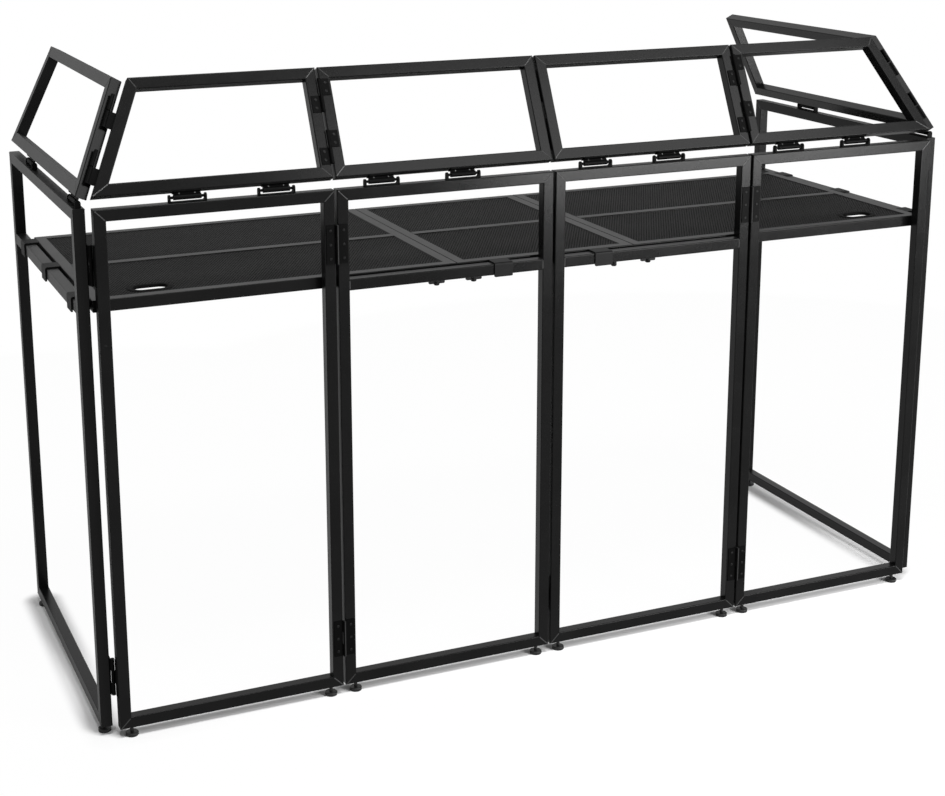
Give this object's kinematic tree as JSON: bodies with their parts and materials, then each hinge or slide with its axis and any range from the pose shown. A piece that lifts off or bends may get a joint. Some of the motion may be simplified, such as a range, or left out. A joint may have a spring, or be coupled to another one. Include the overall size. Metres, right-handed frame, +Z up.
{
  "type": "dj booth",
  "caption": "Folding DJ booth of square-tube frames: hinged front and side frames, upper frames that lean inwards, and a perforated table on the crossbars.",
  "frame": {"origin": "on the floor, at the centre of the booth's bounding box", "axes": "+X to the right as seen from the audience, +Y from the audience towards the performer, +Z up"},
  "size_m": [2.1376, 0.7872, 1.4078],
  "materials": {
    "powder_coat": "satin black powder coat",
    "hinge_steel": "black coated steel",
    "plate_steel": "black coated plate",
    "perforated_sheet": "satin black",
    "grommet_plastic": "matt black",
    "foot_plastic": "matt black",
    "black_fastener": "black coated"
  },
  "bodies": {
    "middle_frames_and_table": {"front_frame_2": "powder_coat", "front_frame_3": "powder_coat", "panel_hinges_middle": "hinge_steel", "tilt_ears_middle": "hinge_steel", "table_frame_left": "powder_coat", "table_frame_centre": "powder_coat", "table_frame_right": "powder_coat", "table_sheets": "perforated_sheet", "cable_grommets": "grommet_plastic", "front_table_hooks": "plate_steel", "joining_plates": "plate_steel", "joining_studs": "black_fastener"},
    "front_left": {"front_frame_1": "powder_coat", "panel_hinges_front_left": "hinge_steel", "tilt_ears_front_left": "hinge_steel"},
    "front_right": {"front_frame_4": "powder_coat", "panel_hinges_front_right": "hinge_steel", "tilt_ears_front_right": "hinge_steel"},
    "side_left": {"side_frame_left": "powder_coat", "panel_hinges_side_left": "hinge_steel", "tilt_ears_side_left": "hinge_steel", "table_brackets_left": "plate_steel"},
    "side_right": {"side_frame_right": "powder_coat", "panel_hinges_side_right": "hinge_steel", "tilt_ears_side_right": "hinge_steel", "table_brackets_right": "plate_steel"},
    "upper_2": {"upper_2_frame": "powder_coat", "upper_2_straps": "hinge_steel", "upper_2_liftoff_hinges": "hinge_steel"},
    "upper_1": {"upper_1_frame": "powder_coat", "upper_1_straps": "hinge_steel", "upper_1_liftoff_hinges": "hinge_steel"},
    "upper_3": {"upper_3_frame": "powder_coat", "upper_3_straps": "hinge_steel", "upper_3_liftoff_hinges": "hinge_steel"},
    "upper_4": {"upper_4_frame": "powder_coat", "upper_4_straps": "hinge_steel", "upper_4_liftoff_hinges": "hinge_steel"},
    "upper_left": {"upper_left_frame": "powder_coat", "upper_left_straps": "hinge_steel", "upper_left_liftoff_hinges": "hinge_steel"},
    "upper_right": {"upper_right_frame": "powder_coat", "upper_right_straps": "hinge_steel", "upper_right_liftoff_hinges": "hinge_steel"},
    "wing_nut_1": {"wing_nut_1": "black_fastener"},
    "wing_nut_2": {"wing_nut_2": "black_fastener"},
    "wing_nut_3": {"wing_nut_3": "black_fastener"},
    "wing_nut_4": {"wing_nut_4": "black_fastener"},
    "foot_1": {"foot_1": "foot_plastic"},
    "foot_2": {"foot_2": "foot_plastic"},
    "foot_3": {"foot_3": "foot_plastic"},
    "foot_4": {"foot_4": "foot_plastic"},
    "foot_5": {"foot_5": "foot_plastic"},
    "foot_6": {"foot_6": "foot_plastic"},
    "foot_7": {"foot_7": "foot_plastic"},
    "foot_8": {"foot_8": "foot_plastic"},
    "foot_9": {"foot_9": "foot_plastic"},
    "foot_10": {"foot_10": "foot_plastic"},
    "foot_11": {"foot_11": "foot_plastic"},
    "foot_12": {"foot_12": "foot_plastic"}
  },
  "joints": [
    {"name": "front_left_swing", "type": "hinge", "parent": "middle_frames_and_table", "child": "front_left", "pos_m": [-0.516, -0.38965, 0], "axis": [0, 0, 1], "range_deg": [0, 90]},
    {"name": "side_left_swing", "type": "hinge", "parent": "front_left", "child": "side_left", "pos_m": [-1.0348, -0.36335, 0], "axis": [0, 0, 1], "range_deg": [0, 90]},
    {"name": "front_right_swing", "type": "hinge", "parent": "middle_frames_and_table", "child": "front_right", "pos_m": [0.516, -0.38965, 0], "axis": [0, 0, -1], "range_deg": [0, 90]},
    {"name": "side_right_swing", "type": "hinge", "parent": "front_right", "child": "side_right", "pos_m": [1.0348, -0.36335, 0], "axis": [0, 0, -1], "range_deg": [0, 90]},
    {"name": "upper_2_tilt", "type": "hinge", "parent": "middle_frames_and_table", "child": "upper_2", "pos_m": [-0.258, -0.37285, 1.172], "axis": [1, 0, 0], "range_deg": [0, 26]},
    {"name": "upper_1_tilt", "type": "hinge", "parent": "front_left", "child": "upper_1", "pos_m": [-0.774, -0.37285, 1.172], "axis": [1, 0, 0], "range_deg": [0, 26]},
    {"name": "upper_3_tilt", "type": "hinge", "parent": "middle_frames_and_table", "child": "upper_3", "pos_m": [0.258, -0.37285, 1.172], "axis": [1, 0, 0], "range_deg": [0, 26]},
    {"name": "upper_4_tilt", "type": "hinge", "parent": "front_right", "child": "upper_4", "pos_m": [0.774, -0.37285, 1.172], "axis": [1, 0, 0], "range_deg": [0, 26]},
    {"name": "upper_left_tilt", "type": "hinge", "parent": "side_left", "child": "upper_left", "pos_m": [-1.0528, 0.01765, 1.172], "axis": [0, -1, 0], "range_deg": [0, 26]},
    {"name": "upper_right_tilt", "type": "hinge", "parent": "side_right", "child": "upper_right", "pos_m": [1.0528, 0.01765, 1.172], "axis": [0, 1, 0], "range_deg": [0, 26]},
    {"name": "wing_nut_1_turn", "type": "hinge", "parent": "middle_frames_and_table", "child": "wing_nut_1", "pos_m": [-0.268, -0.34085, 0.934], "axis": [0, 0, 1], "continuous": true},
    {"name": "wing_nut_2_turn", "type": "hinge", "parent": "middle_frames_and_table", "child": "wing_nut_2", "pos_m": [-0.178, -0.34085, 0.934], "axis": [0, 0, 1], "continuous": true},
    {"name": "wing_nut_3_turn", "type": "hinge", "parent": "middle_frames_and_table", "child": "wing_nut_3", "pos_m": [0.178, -0.34085, 0.934], "axis": [0, 0, 1], "continuous": true},
    {"name": "wing_nut_4_turn", "type": "hinge", "parent": "middle_frames_and_table", "child": "wing_nut_4", "pos_m": [0.268, -0.34085, 0.934], "axis": [0, 0, 1], "continuous": true},
    {"name": "foot_1_turn", "type": "hinge", "parent": "front_left", "child": "foot_1", "pos_m": [-1.0023, -0.37285, 0.011], "axis": [0, 0, 1], "continuous": true},
    {"name": "foot_2_turn", "type": "hinge", "parent": "front_left", "child": "foot_2", "pos_m": [-0.5457, -0.37285, 0.011], "axis": [0, 0, 1], "continuous": true},
    {"name": "foot_3_turn", "type": "hinge", "parent": "middle_frames_and_table", "child": "foot_3", "pos_m": [-0.4863, -0.37285, 0.011], "axis": [0, 0, 1], "continuous": true},
    {"name": "foot_4_turn", "type": "hinge", "parent": "middle_frames_and_table", "child": "foot_4", "pos_m": [-0.0297, -0.37285, 0.011], "axis": [0, 0, 1], "continuous": true},
    {"name": "foot_5_turn", "type": "hinge", "parent": "middle_frames_and_table", "child": "foot_5", "pos_m": [0.0297, -0.37285, 0.011], "axis": [0, 0, 1], "continuous": true},
    {"name": "foot_6_turn", "type": "hinge", "parent": "middle_frames_and_table", "child": "foot_6", "pos_m": [0.4863, -0.37285, 0.011], "axis": [0, 0, 1], "continuous": true},
    {"name": "foot_7_turn", "type": "hinge", "parent": "front_right", "child": "foot_7", "pos_m": [0.5457, -0.37285, 0.011], "axis": [0, 0, 1], "continuous": true},
    {"name": "foot_8_turn", "type": "hinge", "parent": "front_right", "child": "foot_8", "pos_m": [1.0023, -0.37285, 0.011], "axis": [0, 0, 1], "continuous": true},
    {"name": "foot_9_turn", "type": "hinge", "parent": "side_left", "child": "foot_9", "pos_m": [-1.0528, -0.33135, 0.011], "axis": [0, 0, 1], "continuous": true},
    {"name": "foot_10_turn", "type": "hinge", "parent": "side_left", "child": "foot_10", "pos_m": [-1.0528, 0.36665, 0.011], "axis": [0, 0, 1], "continuous": true},
    {"name": "foot_11_turn", "type": "hinge", "parent": "side_right", "child": "foot_11", "pos_m": [1.0528, -0.33135, 0.011], "axis": [0, 0, 1], "continuous": true},
    {"name": "foot_12_turn", "type": "hinge", "parent": "side_right", "child": "foot_12", "pos_m": [1.0528, 0.36665, 0.011], "axis": [0, 0, 1], "continuous": true}
  ],
  "couplings": [
    {"joint": "upper_1_tilt", "follows": "upper_2_tilt", "ratio": 1},
    {"joint": "upper_3_tilt", "follows": "upper_2_tilt", "ratio": 1},
    {"joint": "upper_4_tilt", "follows": "upper_2_tilt", "ratio": 1}
  ]
}
